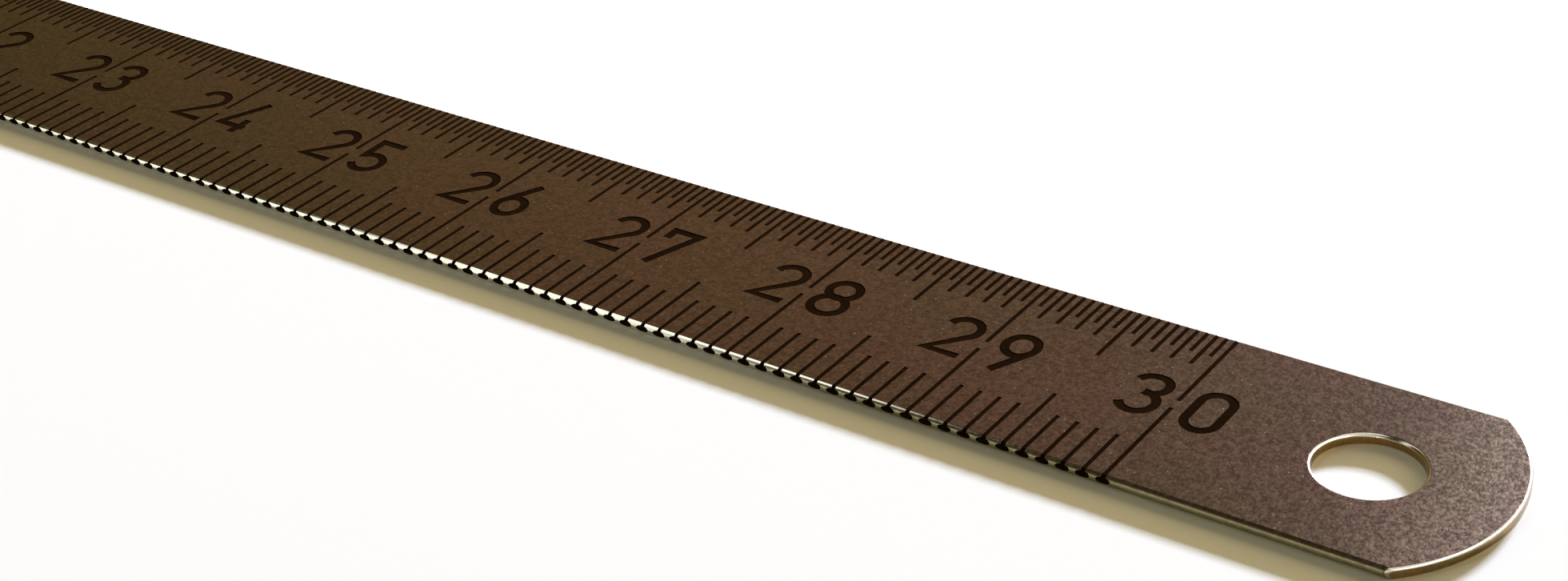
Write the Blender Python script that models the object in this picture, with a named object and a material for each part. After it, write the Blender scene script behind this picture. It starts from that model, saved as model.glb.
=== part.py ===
"""A 300 mm flexible steel rule, as one solid strip of spring steel.

The strip has half-round long edges, a square zero end, a bowed end with a hanging hole, and two
scales of V-shaped lines cut into its upper face. The near scale is in millimetres, the far one
in half millimetres, and every line runs out through its long edge.

Metres, +Z up. X runs along the scale from its zero, which is the square end. Y = 0 is the middle
of the width, and the underside lies on Z = 0.
"""

import math

import bmesh
import bpy
from mathutils import Vector

# Strip
WIDTH = 0.013
THICKNESS = 0.0005
TAIL_LENGTH = 0.016  # plain steel from the last line to the tip of the bowed end
END_BOW = 0.003  # how far the tip stands out past the end's two corners

# Hanging hole
HOLE_DIAMETER = 0.0049
HOLE_FROM_TIP = 0.00666

# Softened rim that punching and tumbling leave round the hole and the bowed end
RIM_WIDTH = 0.00015
RIM_DEPTH = 0.00006

# Scales
DIVISION = 0.001
DIVISIONS = 300
FAR_PER_DIVISION = 2
DIVISIONS_TO_MIDDLE_LINE = 5
DIVISIONS_TO_NUMBERED_LINE = 10

# Lines
LINE_WIDTH = 0.00018
LINE_DEPTH = 0.00002
NEAR_LINE = 0.0032
NEAR_MIDDLE_LINE = 0.0047
NEAR_NUMBERED_LINE = 0.0063
FAR_HALF_LINE = 0.002
FAR_LINE = 0.003
FAR_MIDDLE_LINE = 0.0045
NUMBERED_LINE_GAP = 0.00065  # between the ends of the two lines at each number

# Facets
EDGE_FACETS = 4
END_FACETS = 28
HOLE_FACETS = 40

SCALE_LENGTH = DIVISION * DIVISIONS
LENGTH = SCALE_LENGTH + TAIL_LENGTH
EDGE_RADIUS = THICKNESS / 2
FAR_NUMBERED_LINE = WIDTH - NEAR_NUMBERED_LINE - NUMBERED_LINE_GAP
CUT_MARGIN = THICKNESS  # how far each cutter reaches past the steel that it removes
LINE_CUT_MARGIN = LINE_DEPTH / 2

STEEL_COLOUR = (0.15, 0.118, 0.095, 1.0)
STEEL_ROUGHNESS = 0.42
LINE_COLOUR = (0.012, 0.009, 0.007, 1.0)
LINE_ROUGHNESS = 0.7


def clear_scene():
    for obj in list(bpy.data.objects):
        bpy.data.objects.remove(obj)


def principled(name, colour, roughness, metallic):
    material = bpy.data.materials.new(name)
    material.use_nodes = True
    shader = material.node_tree.nodes["Principled BSDF"]
    shader.inputs["Base Color"].default_value = colour
    shader.inputs["Roughness"].default_value = roughness
    shader.inputs["Metallic"].default_value = metallic
    return material


def satin_steel():
    return principled("satin_steel", STEEL_COLOUR, STEEL_ROUGHNESS, 1.0)


def line_blacking():
    return principled("line_blacking", LINE_COLOUR, LINE_ROUGHNESS, 0.0)


def object_from(bm, name, material):
    """Links a new mesh object made from bm, with its faces turned outwards."""
    bmesh.ops.recalc_face_normals(bm, faces=bm.faces)
    mesh = bpy.data.meshes.new(name)
    bm.to_mesh(mesh)
    bm.free()
    mesh.materials.append(material)
    obj = bpy.data.objects.new(name, mesh)
    bpy.context.scene.collection.objects.link(obj)
    return obj


def lofted(rings, name, material):
    """A closed body through rings of points: a wall between each two rings, and a cap at each end."""
    bm = bmesh.new()
    rings = [[bm.verts.new(point) for point in ring] for ring in rings]
    for lower, upper in zip(rings, rings[1:]):
        for i in range(len(lower)):
            bm.faces.new((lower[i - 1], lower[i], upper[i], upper[i - 1]))
    bm.faces.new(rings[0])
    bm.faces.new(rings[-1])
    return object_from(bm, name, material)


def section(x):
    """The strip's cross-section at x: a slab with two half-round edges."""
    points = []
    for side in (1, -1):
        centre_y = side * (WIDTH / 2 - EDGE_RADIUS)
        for step in range(EDGE_FACETS + 1):
            angle = math.pi * (step / EDGE_FACETS - side / 2)
            y = centre_y + EDGE_RADIUS * math.cos(angle)
            points.append((x, y, EDGE_RADIUS + EDGE_RADIUS * math.sin(angle)))
    return points


def make_strip():
    return lofted([section(0), section(LENGTH)], "rule", satin_steel())


def punch_stages():
    """Heights of a punch from below the strip to above it, and how far it flares out at each.

    The slope that makes a rim carries on as far past the strip's face as it goes into it.
    """
    return (
        (-RIM_DEPTH, 2 * RIM_WIDTH),
        (RIM_DEPTH, 0.0),
        (THICKNESS - RIM_DEPTH, 0.0),
        (THICKNESS + RIM_DEPTH, 2 * RIM_WIDTH),
    )


def hole_punch():
    """The round tool that leaves the hole and its softened rims."""
    centre_x = LENGTH - HOLE_FROM_TIP
    rings = []
    for z, flare in punch_stages():
        radius = HOLE_DIAMETER / 2 + flare
        angles = [math.tau * step / HOLE_FACETS for step in range(HOLE_FACETS)]
        rings.append([(centre_x + radius * math.cos(a), radius * math.sin(a), z) for a in angles])
    return lofted(rings, "hole_punch", satin_steel())


def end_punch():
    """The tool that leaves the bowed end: a block whose near side is the hollow of the arc.

    The arc spans the strip's width, and runs straight on from there to the sides of the block.
    """
    half_width = WIDTH / 2
    radius = (half_width**2 + END_BOW**2) / (2 * END_BOW)
    reach = math.asin(half_width / radius)
    angles = [reach * (2 * step / END_FACETS - 1) for step in range(END_FACETS + 1)]
    side_y = half_width + CUT_MARGIN
    rings = []
    for z, flare in punch_stages():
        hollow = radius - flare
        arc = [(LENGTH - radius + hollow * math.cos(a), hollow * math.sin(a), z) for a in angles]
        end_x, end_y, _ = arc[-1]
        side_x = end_x - (side_y - end_y) * math.tan(reach)
        sides = [(side_x, side_y, z), (LENGTH + CUT_MARGIN, side_y, z)]
        rings.append(arc + sides + [(x, -y, z) for x, y, z in reversed(sides)])
    return lofted(rings, "end_punch", satin_steel())


def near_length(number):
    if number % DIVISIONS_TO_NUMBERED_LINE == 0:
        return NEAR_NUMBERED_LINE
    if number % DIVISIONS_TO_MIDDLE_LINE == 0:
        return NEAR_MIDDLE_LINE
    return NEAR_LINE


def far_length(number):
    if number % (DIVISIONS_TO_NUMBERED_LINE * FAR_PER_DIVISION) == 0:
        return FAR_NUMBERED_LINE
    if number % (DIVISIONS_TO_MIDDLE_LINE * FAR_PER_DIVISION) == 0:
        return FAR_MIDDLE_LINE
    return FAR_LINE if number % FAR_PER_DIVISION == 0 else FAR_HALF_LINE


def add_line(bm, x, side, length):
    """A V-shaped ridge that cuts one line, from outside the long edge on this side inwards."""
    top = THICKNESS + LINE_CUT_MARGIN
    half = LINE_WIDTH / 2 * (LINE_DEPTH + LINE_CUT_MARGIN) / LINE_DEPTH
    outline = ((x - half, top), (x + half, top), (x, THICKNESS - LINE_DEPTH))
    outer_y = side * (WIDTH / 2 + CUT_MARGIN)
    inner_y = side * (WIDTH / 2 - length)
    outer = [bm.verts.new((px, outer_y, pz)) for px, pz in outline]
    inner = [bm.verts.new((px, inner_y, pz)) for px, pz in outline]
    bm.faces.new(outer)
    bm.faces.new(inner)
    for first, second in ((0, 1), (1, 2), (2, 0)):
        bm.faces.new((outer[first], outer[second], inner[second], inner[first]))


def line_cutter():
    bm = bmesh.new()
    for number in range(1, DIVISIONS + 1):
        add_line(bm, number * DIVISION, -1, near_length(number))
    for number in range(1, DIVISIONS * FAR_PER_DIVISION + 1):
        add_line(bm, number * DIVISION / FAR_PER_DIVISION, 1, far_length(number))
    return object_from(bm, "line_cutter", line_blacking())


def cut(target, cutter):
    """Takes the cutter's shape out of the target, which takes the cutter's material there."""
    cutter.hide_render = True
    cutter.display_type = "WIRE"
    modifier = target.modifiers.new(cutter.name, "BOOLEAN")
    modifier.operation = "DIFFERENCE"
    modifier.solver = "EXACT"
    modifier.material_mode = "TRANSFER"
    modifier.object = cutter


def main():
    clear_scene()
    strip = make_strip()
    cut(strip, end_punch())
    cut(strip, hole_punch())
    cut(strip, line_cutter())


main()
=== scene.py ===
"""The looks of a 300 mm flexible steel rule: its etched skin, its finishes, the floor and the light.

The blade is one closed mesh that stands for the solid of the frame. Its skin is laid out flat, with
x along the rule and s across it, over the face and round both long edges. There it is divided along
the outlines of the marks, and then wrapped round the section, with the marks sunk into it.
"""

import math

import bmesh
import bpy
from mathutils import Matrix, Vector
from mathutils.geometry import delaunay_2d_cdt


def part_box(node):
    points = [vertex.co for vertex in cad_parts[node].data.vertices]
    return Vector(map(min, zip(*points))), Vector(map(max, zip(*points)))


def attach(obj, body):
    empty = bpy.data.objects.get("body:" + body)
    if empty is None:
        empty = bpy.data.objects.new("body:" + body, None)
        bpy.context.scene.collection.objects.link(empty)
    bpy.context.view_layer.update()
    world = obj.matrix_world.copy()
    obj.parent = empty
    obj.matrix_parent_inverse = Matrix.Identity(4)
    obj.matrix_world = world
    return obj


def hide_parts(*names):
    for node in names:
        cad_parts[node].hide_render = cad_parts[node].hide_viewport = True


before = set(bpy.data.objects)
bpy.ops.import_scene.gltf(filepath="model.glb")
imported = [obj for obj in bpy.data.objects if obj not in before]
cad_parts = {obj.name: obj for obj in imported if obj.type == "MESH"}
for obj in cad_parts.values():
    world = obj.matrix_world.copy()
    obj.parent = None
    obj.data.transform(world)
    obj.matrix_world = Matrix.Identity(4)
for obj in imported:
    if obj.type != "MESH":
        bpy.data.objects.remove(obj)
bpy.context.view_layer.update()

# Every length below is in millimetres, and becomes metres where an object or a node is made
MM = 0.001
lowest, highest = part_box("rule")

# Strip
LENGTH = (highest.x - lowest.x) / MM
WIDTH = (highest.y - lowest.y) / MM
THICKNESS = (highest.z - lowest.z) / MM
EDGE_RADIUS = THICKNESS / 2
FLAT_HALF = WIDTH / 2 - EDGE_RADIUS
END_BOW = 3.0
BOW_RADIUS = ((WIDTH / 2) ** 2 + END_BOW**2) / (2 * END_BOW)

# Hanging hole
HOLE_RADIUS = 2.45
HOLE_FROM_TIP = 6.66

# Softened rims, as width on the face and depth down the wall
TOP_RIM = (0.15, 0.13)
HOLE_RIM = (0.18, 0.16)
FOOT_RIM = (0.03, 0.03)
ZERO_RIM = (0.03, 0.03)

# Scales
DIVISION = 1.0
DIVISIONS = 300
FAR_PER_DIVISION = 2
MIDDLE_EVERY = 5
NUMBER_EVERY = 10

# Lines
LINE_WIDTH = 0.215
LINE_DEPTH = 0.02
NEAR_LINE = 3.2
NEAR_MIDDLE_LINE = 4.7
NEAR_NUMBERED_LINE = 6.3
FAR_HALF_LINE = 2.0
FAR_LINE = 3.0
FAR_MIDDLE_LINE = 4.5
NUMBERED_LINE_GAP = 0.65
FAR_NUMBERED_LINE = WIDTH - NEAR_NUMBERED_LINE - NUMBERED_LINE_GAP
LINE_END_TILT = math.radians(65)  # how far round the long edge a line runs

# Pools of blacking at the near line ends, low on the rounding
POOL_LENGTH = 0.72
POOL_TILT = math.radians(84)
POOL_TILT_SPAN = math.radians(76)

# Numerals
DIGIT_HEIGHT = 3.55
DIGIT_WIDTH = 2.0
STROKE = 0.46
DIGIT_FOOT = 4.97 - WIDTH / 2
TENS_FROM_LINE = -2.51
UNITS_FROM_LINE = 0.62

# Facets
EDGE_FACETS = 16
FACE_STATIONS = 40
HOLE_FACETS = 96
RIM_FACETS = 6
POOL_FACETS = 16
ARC_STEP = math.radians(12)
SHARP_FROM = math.radians(30)
MITRE_LIMIT = 0.6  # cosine of half a corner's turn, below which its mitre gets no longer
SAME_POINT = 0.001
SNAP = SAME_POINT / 10  # distance at which crossing outlines are drawn together
EDGE_STEP = math.pi * EDGE_RADIUS / EDGE_FACETS
FLAT_ENOUGH = 0.9999  # upward part of the normal of a flat face

# Order of the blade's finishes
FACE, EDGE, RIM, WALL, BLACK = range(5)


# Section and outline of the strip
def over_top(x, s):
    """The point and the outward normal of the skin at x along the rule and s across it."""
    beyond = abs(s) - FLAT_HALF
    if beyond <= 0:
        return Vector((x, s, THICKNESS)), Vector((0, 0, 1))
    side = math.copysign(1, s)
    tilt = beyond / EDGE_RADIUS
    normal = Vector((0, side * math.sin(tilt), math.cos(tilt)))
    return Vector((x, side * FLAT_HALF, EDGE_RADIUS)) + EDGE_RADIUS * normal, normal


def underneath(x, y):
    return Vector((x, y, 0)), Vector((0, 0, -1))


def square_end(y, inward):
    """Where the zero end lies at y, this far inward of its outline."""
    return inward


def bowed_end(y, inward):
    return LENGTH - BOW_RADIUS + math.sqrt((BOW_RADIUS - inward) ** 2 - y**2)


def face_stations():
    return [FLAT_HALF * (2 * i / FACE_STATIONS - 1) for i in range(FACE_STATIONS + 1)]


def skin_stations():
    """Places across the upper skin, from the foot of the near edge to the foot of the far one."""
    round_far = [FLAT_HALF + EDGE_STEP * i for i in range(1, EDGE_FACETS + 1)]
    return [-s for s in reversed(round_far)] + face_stations() + round_far


def round_share(s):
    """How far s lies round a long edge, from 0 on the face to 1 at the underside."""
    return max(0.0, abs(s) - FLAT_HALF) / (math.pi * EDGE_RADIUS)


def rim_between(top, foot, share):
    """Width and depth of a rim that turns from one size at the face to another at the underside."""
    return [a + (b - a) * share for a, b in zip(top, foot)]


def end_rim_width(place, s):
    """Width of the bowed end's rim on the upper skin at s, or on the underside."""
    share = round_share(s) if place is over_top else 1
    return rim_between(TOP_RIM, FOOT_RIM, share)[0]


def rim_stages(width, depth):
    """The quarter round of a rim, as pairs of depth below the skin and distance inside the outline."""
    turns = [math.pi / 2 * i / RIM_FACETS for i in range(RIM_FACETS + 1)]
    return [(depth * (1 - math.cos(a)), width * (1 - math.sin(a))) for a in turns]


def section():
    """Point, normal and share of the way round, in a ring that starts at the near edge's middle."""
    over = [(*over_top(0, s), round_share(s)) for s in skin_stations()]
    under = [(*underneath(0, y), 1) for y in reversed(face_stations()[1:-1])]
    ring = over + under
    middle = EDGE_FACETS // 2
    return ring[middle:] + ring[:middle]


# Marks, as outlines laid out flat
def arc(centre, radii, start, stop):
    """Points round part of an ellipse, from one angle to another in degrees."""
    start, stop = math.radians(start), math.radians(stop)
    steps = max(2, math.ceil(abs(stop - start) / ARC_STEP))
    angles = [start + (stop - start) * i / steps for i in range(steps + 1)]
    return [(centre[0] + radii[0] * math.cos(a), centre[1] + radii[1] * math.sin(a)) for a in angles]


def turned(path):
    """The same path, given half a turn about the middle of the digit."""
    return [(DIGIT_WIDTH - x, DIGIT_HEIGHT - y) for x, y in path]


def digit_paths():
    """The middle line of each stroke of each digit, from the lower left corner of the digit."""
    foot, head = STROKE / 2, DIGIT_HEIGHT - STROKE / 2
    left, right = STROKE / 2, DIGIT_WIDTH - STROKE / 2
    middle, reach = DIGIT_WIDTH / 2, (DIGIT_WIDTH - STROKE) / 2
    waist = foot + 1.7
    oval, oval_middle = (reach, 0.87), (middle, foot + 0.87)
    bowl = arc(oval_middle, oval, 0, 360)
    leg = [arc(oval_middle, oval, 153, 360)[0], (1.31, DIGIT_HEIGHT)]
    return {
        "0": [arc((middle, head - reach), (reach, reach), 0, 180)
              + arc((middle, foot + reach), (reach, reach), 180, 360) + [(right, head - reach)]],
        "1": [[(0.5, 2.75), (1.25, head), (1.25, 0)]],
        "2": [arc((1.0, head - 0.83), (0.83, 0.83), 168, -40) + [(0.17, foot), (DIGIT_WIDTH, foot)]],
        "3": [arc((0.93, head - 0.85), (0.85, 0.85), 160, 90)
              + arc((0.98, head - 0.73), (0.73, 0.73), 90, -90) + [(0.8, waist)],
              [(0.8, waist)] + arc((0.92, foot + 0.85), (0.85, 0.85), 90, -155)],
        "4": [[(1.38, DIGIT_HEIGHT), (0.2, 0.7), (DIGIT_WIDTH, 0.7)], [(1.6, 1.55), (1.6, 0)]],
        "5": [[(1.8, head), (0.25, head), (0.29, 1.66)]
              + arc((0.97, foot + 0.86), (0.86, 0.86), 137, -155)],
        "6": [bowl, leg],
        "7": [[(left, 2.5), (left, head), (right, head), (0.66, 0)]],
        "8": [arc((middle + 0.04, head - 0.76), (0.78, 0.76), 0, 360),
              arc((middle + 0.04, foot + 0.83), (0.87, 0.83), 0, 360)],
        "9": [turned(bowl), turned(leg)],
    }


def stroke_pieces(path):
    """Four-sided pieces that together make a stroke of constant width along the path."""
    points = [Vector(p) for p in path]
    closed = (points[0] - points[-1]).length < SAME_POINT
    runs = [(b - a).normalized() for a, b in zip(points, points[1:])]
    sides = []
    for i in range(len(points)):
        before = runs[i - 1] if i or closed else runs[0]
        after = runs[i] if i < len(runs) else runs[0] if closed else runs[-1]
        across = (before + after).orthogonal().normalized()
        reach = STROKE / 2 / max(MITRE_LIMIT, abs(across.dot(after.orthogonal())))
        sides.append((points[i] - across * reach, points[i] + across * reach))
    return [[*first, *reversed(second)] for first, second in zip(sides, sides[1:])]


def box_outline(x, half, start, stop):
    """A narrow box at x along the rule, from one place across it to another."""
    return [(x - half, start), (x + half, start), (x + half, stop), (x - half, stop)]


def near_length(number):
    if number % NUMBER_EVERY == 0:
        return NEAR_NUMBERED_LINE
    return NEAR_LINE if number % MIDDLE_EVERY else NEAR_MIDDLE_LINE


def far_length(number):
    if number % FAR_PER_DIVISION:
        return FAR_HALF_LINE
    number //= FAR_PER_DIVISION
    if number % NUMBER_EVERY == 0:
        return FAR_NUMBERED_LINE
    return FAR_LINE if number % MIDDLE_EVERY else FAR_MIDDLE_LINE


def line_outlines():
    outer = FLAT_HALF + EDGE_RADIUS * LINE_END_TILT
    half = LINE_WIDTH / 2
    far_division = DIVISION / FAR_PER_DIVISION
    near = [(n * DIVISION, near_length(n)) for n in range(1, DIVISIONS + 1)]
    far = [(n * far_division, far_length(n)) for n in range(1, DIVISIONS * FAR_PER_DIVISION + 1)]
    outlines = [box_outline(x, half, -outer, length - WIDTH / 2) for x, length in near]
    return outlines + [box_outline(x, half, WIDTH / 2 - length, outer) for x, length in far]


def pool_outlines():
    s = -(FLAT_HALF + EDGE_RADIUS * POOL_TILT)
    radii = (POOL_LENGTH / 2, EDGE_RADIUS * POOL_TILT_SPAN / 2)
    outlines = []
    for number in range(1, DIVISIONS + 1):
        angles = [math.tau * i / POOL_FACETS for i in range(POOL_FACETS)]
        x = number * DIVISION
        outlines.append([(x + radii[0] * math.cos(a), s + radii[1] * math.sin(a)) for a in angles])
    return outlines


def numeral_outlines():
    """Two digits stand on the two sides of their line, and a single one stands on its left."""
    paths = digit_paths()
    outlines = []
    for number in range(NUMBER_EVERY, DIVISIONS + 1, NUMBER_EVERY):
        for digit, from_line in zip(str(number // NUMBER_EVERY), (TENS_FROM_LINE, UNITS_FROM_LINE)):
            corner = Vector((number * DIVISION + from_line, DIGIT_FOOT))
            for path in paths[digit]:
                outlines += [[corner + p for p in piece] for piece in stroke_pieces(path)]
    return outlines


# The blade's mesh
def anticlockwise(outline):
    area = sum(a[0] * b[1] - b[0] * a[1] for a, b in zip(outline, [*outline[1:], outline[0]]))
    return list(outline) if area > 0 else list(reversed(outline))


def divided(outline, hole, folds, marks):
    """Triangles of a flat sheet, divided along its folds and marks, each with whether it is marked."""
    points, edges, faces = [], [], []
    for shape in (outline, hole, *marks):
        faces.append(list(range(len(points), len(points) + len(shape))))
        points += [Vector(p) for p in anticlockwise(shape)]
    for fold in folds:
        edges.append((len(points), len(points) + 1))
        points += [Vector(p) for p in fold]
    inside_only = 1
    points, _, triangles, _, _, sources = delaunay_2d_cdt(points, edges, faces, inside_only, SNAP)
    kept = [(tuple(t), max(source) > 1) for t, source in zip(triangles, sources) if 1 not in source]
    return points, kept


def hole_ring(radius, z):
    centre = LENGTH - HOLE_FROM_TIP
    angles = [math.tau * i / HOLE_FACETS for i in range(HOLE_FACETS)]
    return [Vector((centre + radius * math.cos(a), radius * math.sin(a), z)) for a in angles]


def add_face(bm, points, finish):
    face = bm.faces.new([bm.verts.new(p) for p in points])
    face.material_index = finish


def add_sheet(bm, place, stations, hole_rim, folds, marks):
    """The upper or the lower skin, with its marks sunk into it."""
    start = [(square_end(place(0, s)[0].y, ZERO_RIM[0]), s) for s in stations]
    end = [(bowed_end(place(0, s)[0].y, end_rim_width(place, s)), s) for s in stations]
    hole = [p.xy for p in hole_ring(HOLE_RADIUS + hole_rim[0], 0)]
    fold_lines = [(a, b) for a, b in zip(start, end) if a[1] in folds]
    points, triangles = divided(start + end[::-1], hole, fold_lines, marks)
    placed = [place(*p) for p in points]
    top = [bm.verts.new(point) for point, _ in placed]
    # A mark's border is made of the sides that only one of its triangles has
    floor = {}
    borders = {}
    for triangle, marked in triangles:
        middle = sum(points[i].y for i in triangle) / 3
        on_edge = abs(middle) > FLAT_HALF + EDGE_STEP
        if marked:
            for i in triangle:
                if i not in floor:
                    point, normal = placed[i]
                    floor[i] = bm.verts.new(point - normal * LINE_DEPTH)
            for a, b in zip(triangle, triangle[1:] + triangle[:1]):
                if borders.pop((b, a), None) is None:
                    borders[a, b] = True
        face = bm.faces.new([floor[i] if marked else top[i] for i in triangle])
        face.material_index = BLACK if marked else EDGE if on_edge else FACE
    for a, b in borders:
        wall = bm.faces.new((top[a], top[b], floor[b], floor[a]))
        wall.material_index = BLACK


def add_band(bm, lower, upper, finish):
    """Quads between two closed rings of points."""
    for i in range(len(lower)):
        add_face(bm, (lower[i - 1], lower[i], upper[i], upper[i - 1]), finish)


def add_rim(bm, rings, from_face):
    """Bands of a rim. From the face down, the first of them keeps the face's finish."""
    for i, (first, second) in enumerate(zip(rings, rings[1:])):
        add_band(bm, first, second, FACE if from_face and i == 0 else RIM)


def add_end(bm, plan, top_rim, foot_rim):
    """The rim and the wall of one end of the strip."""
    rings = [[] for _ in range(RIM_FACETS + 1)]
    for point, normal, share in section():
        stages = rim_stages(*rim_between(top_rim, foot_rim, share))
        for ring, (inset, inward) in zip(rings, stages):
            inner = point - normal * inset
            ring.append(Vector((plan(inner.y, inward), inner.y, inner.z)))
    add_rim(bm, rings, from_face=True)
    wall = rings[-1]
    half = len(wall) // 2
    head, foot = wall[:half + 1], [wall[0], *reversed(wall[half:])]
    for i in range(half):
        add_face(bm, (head[i], head[i + 1], foot[i + 1], foot[i]), WALL)


def add_hole(bm):
    """The wall of the hole, between its rolled upper rim and the small one underneath."""
    upper, lower = rim_stages(*HOLE_RIM), rim_stages(*FOOT_RIM)
    top = [hole_ring(HOLE_RADIUS + inward, THICKNESS - inset) for inset, inward in upper]
    foot = [hole_ring(HOLE_RADIUS + inward, inset) for inset, inward in lower]
    add_rim(bm, top, from_face=True)
    add_band(bm, top[-1], foot[-1], WALL)
    add_rim(bm, foot[::-1], from_face=False)


def round_normal(point):
    """The outward normal on a long edge's rounding, or None anywhere else."""
    across = Vector((0, point.y - math.copysign(FLAT_HALF * MM, point.y), point.z - EDGE_RADIUS * MM))
    on_radius = abs(across.length - EDGE_RADIUS * MM) < SAME_POINT * MM
    past_face = abs(point.y) > FLAT_HALF * MM - SAME_POINT * MM
    return across.normalized() if on_radius and past_face else None


def set_true_normals(mesh):
    """Gives flat faces and roundings the normals of their true forms, whatever their triangles."""
    normals = [corner.vector.copy() for corner in mesh.corner_normals]
    for polygon in mesh.polygons:
        if polygon.material_index not in (FACE, EDGE, RIM):
            continue
        found = [round_normal(mesh.vertices[i].co) for i in polygon.vertices]
        if abs(polygon.normal.z) > FLAT_ENOUGH:
            found = [polygon.normal.copy() for _ in polygon.vertices]
        if all(found):
            for corner, normal in zip(polygon.loop_indices, found):
                normals[corner] = normal
    mesh.normals_split_custom_set(normals)


def blade_mesh():
    bm = bmesh.new()
    stations = skin_stations()
    face = face_stations()
    folds = [s for s in stations[1:-1] if abs(s) >= FLAT_HALF - SAME_POINT]
    marks = line_outlines() + pool_outlines() + numeral_outlines()
    add_sheet(bm, over_top, stations, HOLE_RIM, folds, marks)
    add_sheet(bm, underneath, face, FOOT_RIM, [], [])
    add_end(bm, square_end, ZERO_RIM, ZERO_RIM)
    add_end(bm, bowed_end, TOP_RIM, FOOT_RIM)
    add_hole(bm)
    bmesh.ops.remove_doubles(bm, verts=bm.verts, dist=SAME_POINT)
    bmesh.ops.dissolve_degenerate(bm, edges=bm.edges, dist=SAME_POINT)
    bmesh.ops.recalc_face_normals(bm, faces=bm.faces)
    bm.transform(Matrix.Scale(MM, 4))
    mesh = bpy.data.meshes.new("rule_blade")
    bm.to_mesh(mesh)
    bm.free()
    mesh.set_sharp_from_angle(angle=SHARP_FROM)
    set_true_normals(mesh)
    return mesh


# Nodes
MIX_FACTOR, MIX_FIRST, MIX_SECOND, MIX_RESULT = 0, 6, 7, 2  # sockets of a Mix node for colours


def node(tree, kind, **values):
    made = tree.nodes.new(kind)
    for name, value in values.items():
        setattr(made, name, value)
    return made


def join(tree, source, made, name):
    """Feeds an input from a node's output, or sets it to a plain value."""
    socket = made.inputs[name]
    if isinstance(source, bpy.types.NodeSocket):
        tree.links.new(source, socket)
    else:
        socket.default_value = source


def maths(tree, operation, *values):
    made = node(tree, "ShaderNodeMath", operation=operation)
    for i, value in enumerate(values):
        join(tree, value, made, i)
    return made.outputs[0]


def vector_maths(tree, operation, first, second=(0, 0, 0), result="Vector"):
    made = node(tree, "ShaderNodeVectorMath", operation=operation)
    join(tree, first, made, 0)
    join(tree, second, made, 1)
    return made.outputs[result]


def smooth_ramp(tree, value, start, stop):
    """A soft step from 0 at start to 1 at stop, which may be the lower of the two."""
    made = node(tree, "ShaderNodeMapRange", interpolation_type="SMOOTHSTEP")
    join(tree, value, made, "Value")
    join(tree, start, made, "From Min")
    join(tree, stop, made, "From Max")
    return made.outputs["Result"]


def ramp_over(tree, coordinate, limits):
    """The same soft step over one of the object's coordinates, between limits in millimetres."""
    return smooth_ramp(tree, coordinate, *[limit * MM for limit in limits])


def mixed(tree, factor, first, second, blend="MIX"):
    made = node(tree, "ShaderNodeMix", data_type="RGBA", blend_type=blend)
    join(tree, factor, made, MIX_FACTOR)
    join(tree, first, made, MIX_FIRST)
    join(tree, second, made, MIX_SECOND)
    return made.outputs[MIX_RESULT]


def noise(tree, place, size, detail, roughness=0.5):
    made = node(tree, "ShaderNodeTexNoise")
    join(tree, place, made, "Vector")
    join(tree, maths(tree, "DIVIDE", 1 / MM, size), made, "Scale")
    join(tree, detail, made, "Detail")
    join(tree, roughness, made, "Roughness")
    return made.outputs["Fac"]


def object_place(tree):
    return node(tree, "ShaderNodeTexCoord").outputs["Object"]


def node_group(name, inputs, outputs):
    """An empty group with named sockets, the values given to it, and the node for its results."""
    tree = bpy.data.node_groups.new(name, "ShaderNodeTree")
    for side, sockets in (("INPUT", inputs), ("OUTPUT", outputs)):
        for label, kind in sockets.items():
            tree.interface.new_socket(name=label, in_out=side, socket_type="NodeSocket" + kind)
    return tree, tree.nodes.new("NodeGroupInput").outputs, tree.nodes.new("NodeGroupOutput")


def mottling_group():
    """Fine grain and slow clouds, as a colour, a roughness and the height of the grain."""
    inputs = {"Grain Size": "Float", "Grain Stretch": "Vector", "Cloud Size": "Float", "Dark": "Color",
              "Light": "Color", "Cloud Tint": "Color", "Smoothest": "Float", "Roughest": "Float"}
    outputs = {"Colour": "Color", "Roughness": "Float", "Grain": "Float"}
    tree, given, result = node_group("mottling", inputs, outputs)
    place = object_place(tree)
    drawn_out = vector_maths(tree, "DIVIDE", place, given["Grain Stretch"])
    fine = noise(tree, drawn_out, given["Grain Size"], GRAIN_DETAIL, GRAIN_ROUGHNESS)
    coarse_size = maths(tree, "MULTIPLY", given["Grain Size"], COARSE_GRAIN)
    coarse = noise(tree, place, coarse_size, COARSE_DETAIL)
    fine_part = maths(tree, "MULTIPLY", fine, 1 - COARSE_SHARE)
    blend = maths(tree, "MULTIPLY_ADD", coarse, COARSE_SHARE, fine_part)
    grain = smooth_ramp(tree, blend, *GRAIN_RANGE)
    clouds = smooth_ramp(tree, noise(tree, place, given["Cloud Size"], CLOUD_DETAIL), *CLOUD_RANGE)
    colour = mixed(tree, grain, given["Dark"], given["Light"])
    join(tree, mixed(tree, clouds, colour, given["Cloud Tint"], "MULTIPLY"), result, "Colour")
    span = maths(tree, "SUBTRACT", given["Roughest"], given["Smoothest"])
    join(tree, maths(tree, "MULTIPLY_ADD", grain, span, given["Smoothest"]), result, "Roughness")
    join(tree, grain, result, "Grain")
    return tree


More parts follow.
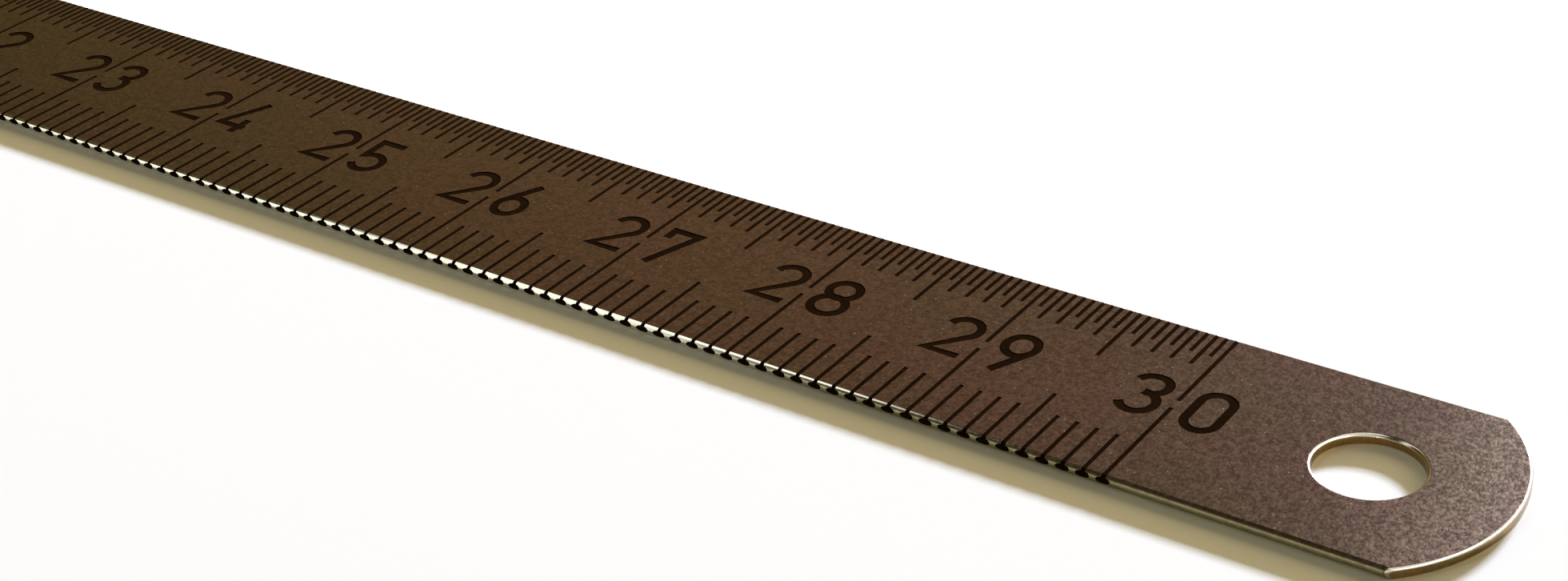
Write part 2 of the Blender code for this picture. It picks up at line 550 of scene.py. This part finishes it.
def mottled(tree, group, grain_size, stretch, cloud_size, dark, light, tint, smoothest, roughest):
    """The group's node in one material, with that material's own values."""
    made = node(tree, "ShaderNodeGroup", node_tree=group)
    values = {"Grain Size": grain_size, "Grain Stretch": stretch, "Cloud Size": cloud_size,
              "Dark": (*dark, 1), "Light": (*light, 1), "Cloud Tint": (*tint, 1),
              "Smoothest": smoothest, "Roughest": roughest}
    for label, value in values.items():
        join(tree, value, made, label)
    return made.outputs


# Finishes
EVEN = (1, 1, 1)
ACROSS = (1, 1.5, 1)  # grain drawn out across the strip
DOWN = (1, 1, 5)  # streaks drawn down a sheared wall
GRAIN_DETAIL = 2
GRAIN_ROUGHNESS = 0.65
COARSE_DETAIL = 1
CLOUD_DETAIL = 2
COARSE_GRAIN = 3.2  # size of the coarse grain, against the fine
COARSE_SHARE = 0.3
GRAIN_RANGE = (0.28, 0.72)
CLOUD_RANGE = (0.38, 0.62)

# The face's dark brown, far darker than bare steel, is partly painted shade: it takes in the dark
# reflections that the face shows.
ETCHED_AND_SHADED = {"grain_size": 0.15, "stretch": ACROSS, "cloud_size": 8,
          "dark": (0.082, 0.052, 0.033), "light": (0.168, 0.107, 0.065), "tint": (0.93, 1.03, 0.9),
          "smoothest": 0.26, "roughest": 0.32}
# A lighter copy of the face for the tip: painted sheen, standing in for the brighter reflection at
# that end.
TIP_SHEEN = {**ETCHED_AND_SHADED, "dark": (0.102, 0.075, 0.053), "light": (0.323, 0.24, 0.17)}
BURNISHED = {"grain_size": 0.2, "stretch": EVEN, "cloud_size": 3,
             "dark": (0.78, 0.76, 0.73), "light": (0.9, 0.89, 0.87), "tint": (0.98, 0.97, 0.95),
             "smoothest": 0.07, "roughest": 0.12}
# The rougher foot of the long edges, its colour painted darker as shade, for the dark reflection along
# the end with the hole.
DULL_AND_SHADED = {**BURNISHED, "dark": (0.3, 0.26, 0.165), "light": (0.4, 0.35, 0.23),
        "smoothest": 0.5, "roughest": 0.6}
RUBBED = {**BURNISHED, "dark": (0.46, 0.42, 0.37), "light": (0.6, 0.56, 0.5),
          "smoothest": 0.14, "roughest": 0.2}
SHEARED = {"grain_size": 0.06, "stretch": DOWN, "cloud_size": 1.3,
           "dark": (0.38, 0.235, 0.09), "light": (0.5, 0.33, 0.15), "tint": (0.62, 0.78, 0.95),
           "smoothest": 0.18, "roughest": 0.28}
BLACKED = {"grain_size": 0.12, "stretch": EVEN, "cloud_size": 2,
           "dark": (0.011, 0.005, 0.0015), "light": (0.018, 0.0085, 0.0035), "tint": (0.8, 0.85, 1),
           "smoothest": 0.6, "roughest": 0.8}

TIP_SHEEN_ALONG = (308, 316)  # where the painted sheen begins to lighten the tip, and where it is lightest
DULL_SHADE_FROM = (0.42, 0.3)  # heights between which the burnish of an edge gives way to its rougher foot, painted darker as shade
DULL_SHADE_ALONG = (277, 289)  # where along the rule that foot with its painted shade begins, and where it is full
GRAIN_HEIGHT = 0.006
STAIN_MIDDLE = (295, 1.5, THICKNESS)
STAIN_RADII = (2.4, 3.6, 1)
STAIN_TINT = (1.0, 0.87, 0.9, 1)
SPECK_SIZE = 0.16
SPECK_DETAIL = 0
SPECK_RANGE = (0.8, 0.83)
SPECK_COLOUR = (0.4, 0.34, 0.29, 1)


def finish(name, group, values, metallic):
    """A material with a mottled colour and roughness, and its nodes, shader and mottling."""
    made = bpy.data.materials.new(name)
    made.use_nodes = True
    tree = made.node_tree
    shader = tree.nodes["Principled BSDF"]
    mottling = mottled(tree, group, **values)
    join(tree, mottling["Colour"], shader, "Base Color")
    join(tree, mottling["Roughness"], shader, "Roughness")
    shader.inputs["Metallic"].default_value = metallic
    return made, tree, shader, mottling


def soft_spot(tree, place, middle, radii):
    """One in the middle of a soft oval, and nothing past its rim."""
    offset = vector_maths(tree, "SUBTRACT", place, [v * MM for v in middle])
    scaled = vector_maths(tree, "DIVIDE", offset, [v * MM for v in radii])
    return smooth_ramp(tree, vector_maths(tree, "LENGTH", scaled, result="Value"), 1, 0)


def satin_steel(group):
    """The etched face, dark partly as painted shade, with a painted sheen on the tip, one reddish
    stain and pale specks.
    """
    made, tree, shader, mottling = finish("satin_steel", group, ETCHED_AND_SHADED, metallic=1.0)
    place = object_place(tree)
    split = node(tree, "ShaderNodeSeparateXYZ")
    join(tree, place, split, 0)
    # Painted sheen: the face's colour turns lighter towards the tip.
    tip_sheen = ramp_over(tree, split.outputs["X"], TIP_SHEEN_ALONG)
    colour = mixed(tree, tip_sheen, mottling["Colour"], mottled(tree, group, **TIP_SHEEN)["Colour"])
    stain = soft_spot(tree, place, STAIN_MIDDLE, STAIN_RADII)
    colour = mixed(tree, stain, colour, STAIN_TINT, "MULTIPLY")
    specks = smooth_ramp(tree, noise(tree, place, SPECK_SIZE, SPECK_DETAIL), *SPECK_RANGE)
    join(tree, mixed(tree, specks, colour, SPECK_COLOUR), shader, "Base Color")
    bump = node(tree, "ShaderNodeBump")
    join(tree, mottling["Grain"], bump, "Height")
    bump.inputs["Distance"].default_value = GRAIN_HEIGHT * MM
    join(tree, bump.outputs["Normal"], shader, "Normal")
    return made


def burnished_edge(group):
    """The long edges, whose foot is rougher and painted darker, as shade, along the end with the hole.
    """
    made, tree, shader, mottling = finish("burnished_edge", group, BURNISHED, metallic=1.0)
    split = node(tree, "ShaderNodeSeparateXYZ")
    join(tree, object_place(tree), split, 0)
    low = ramp_over(tree, split.outputs["Z"], DULL_SHADE_FROM)
    # Painted shade: the lower rounding turns dark along the end with the hole.
    foot = maths(tree, "MULTIPLY", low, ramp_over(tree, split.outputs["X"], DULL_SHADE_ALONG))
    dull_and_shaded = mottled(tree, group, **DULL_AND_SHADED)
    join(tree, mixed(tree, foot, mottling["Colour"], dull_and_shaded["Colour"]), shader, "Base Color")
    rougher_by = maths(tree, "SUBTRACT", dull_and_shaded["Roughness"], mottling["Roughness"])
    roughness = maths(tree, "MULTIPLY_ADD", foot, rougher_by, mottling["Roughness"])
    join(tree, roughness, shader, "Roughness")
    return made


def rubbed_rim(group):
    """The rolled rims of the hole and of both ends."""
    return finish("rubbed_rim", group, RUBBED, metallic=1.0)[0]


def sheared_wall(group):
    """The walls of the hole and of both ends."""
    return finish("sheared_wall", group, SHEARED, metallic=1.0)[0]


def line_blacking(group):
    """The dull black in the lines, the numerals and the pools."""
    made, _, shader, _ = finish("line_blacking", group, BLACKED, metallic=0.0)
    shader.inputs["Specular IOR Level"].default_value = 0.0
    return made


def make_blade():
    """The blade, with its finishes in the order of their numbers in the mesh."""
    mesh = blade_mesh()
    group = mottling_group()
    for make_finish in (satin_steel, burnished_edge, rubbed_rim, sheared_wall, line_blacking):
        mesh.materials.append(make_finish(group))
    blade = bpy.data.objects.new("rule_blade", mesh)
    bpy.context.scene.collection.objects.link(blade)
    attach(blade, "root")
    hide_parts("rule")


# Floor, light and camera
FLOOR_HALF = 6000.0
FLOOR_DROP = 0.01
FLOOR_COLOUR = (0.93, 0.945, 0.87, 1)

# Lamps, as seen from their centre: azimuth from +X and elevation in degrees, and power in watts
LAMP_CENTRE = (250.0, 0.0, 0.0)
KEY = {"azimuth": 90, "elevation": 12.1, "distance": 3000, "size": (600, 165), "power": 314,
       "colour": (0.9, 0.97, 1.28)}
FILL = {"azimuth": 90, "elevation": 26, "distance": 2200, "size": (5200, 935), "power": 37,
        "colour": (1.0, 0.82, 0.43), "in_reflections": False}
SIDE_CARD = {"azimuth": 32, "elevation": 28, "distance": 2200, "size": (6400, 2100), "power": 85,
             "colour": (1.0, 0.96, 0.92), "in_shade": False}
NEAR_CARD = {"azimuth": -50, "elevation": 25, "distance": 2200, "size": (3600, 1500), "power": 20,
             "colour": (1.0, 0.96, 0.9), "in_shade": False}
TOP_CARD = {"azimuth": 0, "elevation": 70, "distance": 2200, "size": (2400, 2600), "power": 25,
            "colour": (1.0, 0.96, 0.9), "in_shade": False}

# Room round the rule: directions by their azimuth in degrees, or by their part along an axis
ROOM_DIM = (0.19, 0.155, 0.035, 1)
ROOM_FAR = (0.64, 0.4, 0.205, 1)
ROOM_NEAR = (0.12, 0.095, 0.014, 1)
ROOM_TOP = (0.022, 0.014, 0.006, 1)
ROOM_HORIZON = (0.24, 0.21, 0.13, 1)
FAR_AZIMUTH = 65
FAR_RANGE = (0.08, 0.52)
NEAR_RANGE = (0.2, -0.15)
TOP_RANGE = (0.42, 0.85)
HORIZON_RANGE = (0.08, 0.04)

# Bright arch on the left of the room, a strip that rises from the near side and widens low down
ARCH_COLOUR = (1.3, 1.3, 1.1, 1)
ARCH_MIDDLE, ARCH_MIDDLE_LOW = -0.553, -0.65
ARCH_HALF, ARCH_HALF_LOW = 0.083, 0.105
ARCH_SOFTNESS = 0.02
ARCH_LOW_RANGE = (-0.1, -0.5)
ARCH_END_RANGE = (0.47, 0.37)

# Camera, with its roll in degrees
CAMERA_PLACE = (345.01, -88.95, 64.81)
CAMERA_AIM = (279.06, -0.4, 0.5)
CAMERA_ROLL = -3.37
CAMERA_LENS = 60.404
CAMERA_SENSOR = 36.0
CAMERA_NEAREST = 10.0


def linked(name, data):
    obj = bpy.data.objects.new(name, data)
    bpy.context.scene.collection.objects.link(obj)
    return obj


def make_floor():
    mesh = bpy.data.meshes.new("floor")
    half = FLOOR_HALF * MM
    corners = [(-half, -half, 0), (half, -half, 0), (half, half, 0), (-half, half, 0)]
    mesh.from_pydata(corners, [], [(0, 1, 2, 3)])
    floor = linked("floor", mesh)
    floor.location.z = -FLOOR_DROP * MM
    made = bpy.data.materials.new("pale_floor")
    made.use_nodes = True
    shader = made.node_tree.nodes["Principled BSDF"]
    shader.inputs["Base Color"].default_value = FLOOR_COLOUR
    shader.inputs["Roughness"].default_value = 1.0
    shader.inputs["Specular IOR Level"].default_value = 0.0
    mesh.materials.append(made)


def make_lamp(name, azimuth, elevation, distance, size, power, colour,
              in_shade=True, in_reflections=True):
    """A rectangular lamp that faces the rule, and can be kept out of the shade or the reflections."""
    data = bpy.data.lights.new(name, "AREA")
    data.shape = "RECTANGLE"
    data.size, data.size_y = size[0] * MM, size[1] * MM
    data.energy = power
    data.color = colour
    lamp = linked(name, data)
    lamp.visible_camera = False
    lamp.visible_diffuse = in_shade
    lamp.visible_glossy = in_reflections
    turn, lift = math.radians(azimuth), math.radians(elevation)
    level = math.cos(lift)
    direction = Vector((level * math.cos(turn), level * math.sin(turn), math.sin(lift)))
    lamp.location = (Vector(LAMP_CENTRE) + direction * distance) * MM
    lamp.rotation_euler = direction.to_track_quat("Z", "Y").to_euler()


def make_room():
    """The world: a dim room that is warmer on the far side, with the bright arch on its left."""
    world = bpy.data.worlds.new("room")
    world.use_nodes = True
    bpy.context.scene.world = world
    tree = world.node_tree
    direction = node(tree, "ShaderNodeTexCoord").outputs["Generated"]
    split = node(tree, "ShaderNodeSeparateXYZ")
    join(tree, direction, split, 0)
    x, y, z = split.outputs
    level = vector_maths(tree, "NORMALIZE", vector_maths(tree, "MULTIPLY", direction, (1, 1, 0)))
    far_angle = math.radians(FAR_AZIMUTH)
    towards_far = (math.cos(far_angle), math.sin(far_angle), 0)
    far_part = vector_maths(tree, "DOT_PRODUCT", level, towards_far, "Value")
    room = mixed(tree, smooth_ramp(tree, far_part, *FAR_RANGE), ROOM_DIM, ROOM_FAR)
    room = mixed(tree, smooth_ramp(tree, y, *NEAR_RANGE), room, ROOM_NEAR)
    room = mixed(tree, smooth_ramp(tree, z, *TOP_RANGE), room, ROOM_TOP)
    room = mixed(tree, arch_mask(tree, x, y), room, ARCH_COLOUR)
    room = mixed(tree, smooth_ramp(tree, z, *HORIZON_RANGE), room, ROOM_HORIZON)
    join(tree, room, tree.nodes["Background"], "Color")


def arch_mask(tree, x, y):
    """One inside the bright arch, by the parts of a direction along X and Y."""
    low = smooth_ramp(tree, y, *ARCH_LOW_RANGE)
    middle = maths(tree, "MULTIPLY_ADD", low, ARCH_MIDDLE_LOW - ARCH_MIDDLE, ARCH_MIDDLE)
    half = maths(tree, "MULTIPLY_ADD", low, ARCH_HALF_LOW - ARCH_HALF, ARCH_HALF)
    past = maths(tree, "SUBTRACT", maths(tree, "ABSOLUTE", maths(tree, "SUBTRACT", x, middle)), half)
    inside = smooth_ramp(tree, past, ARCH_SOFTNESS, -ARCH_SOFTNESS)
    return maths(tree, "MULTIPLY", inside, smooth_ramp(tree, y, *ARCH_END_RANGE))


def make_camera():
    data = bpy.data.cameras.new("camera")
    data.lens = CAMERA_LENS
    data.sensor_fit = "HORIZONTAL"
    data.sensor_width = CAMERA_SENSOR
    data.clip_start = CAMERA_NEAREST * MM
    camera = linked("camera", data)
    place, aim = Vector(CAMERA_PLACE) * MM, Vector(CAMERA_AIM) * MM
    camera.location = place
    turn = (aim - place).to_track_quat("-Z", "Y").to_matrix()
    camera.rotation_euler = (turn @ Matrix.Rotation(math.radians(CAMERA_ROLL), 3, "Z")).to_euler()
    bpy.context.scene.camera = camera


make_blade()
make_floor()
make_lamp("key", **KEY)
make_lamp("fill", **FILL)
make_lamp("side_card", **SIDE_CARD)
make_lamp("near_card", **NEAR_CARD)
make_lamp("top_card", **TOP_CARD)
make_room()
make_camera()
bpy.context.scene.view_settings.view_transform = "Standard"
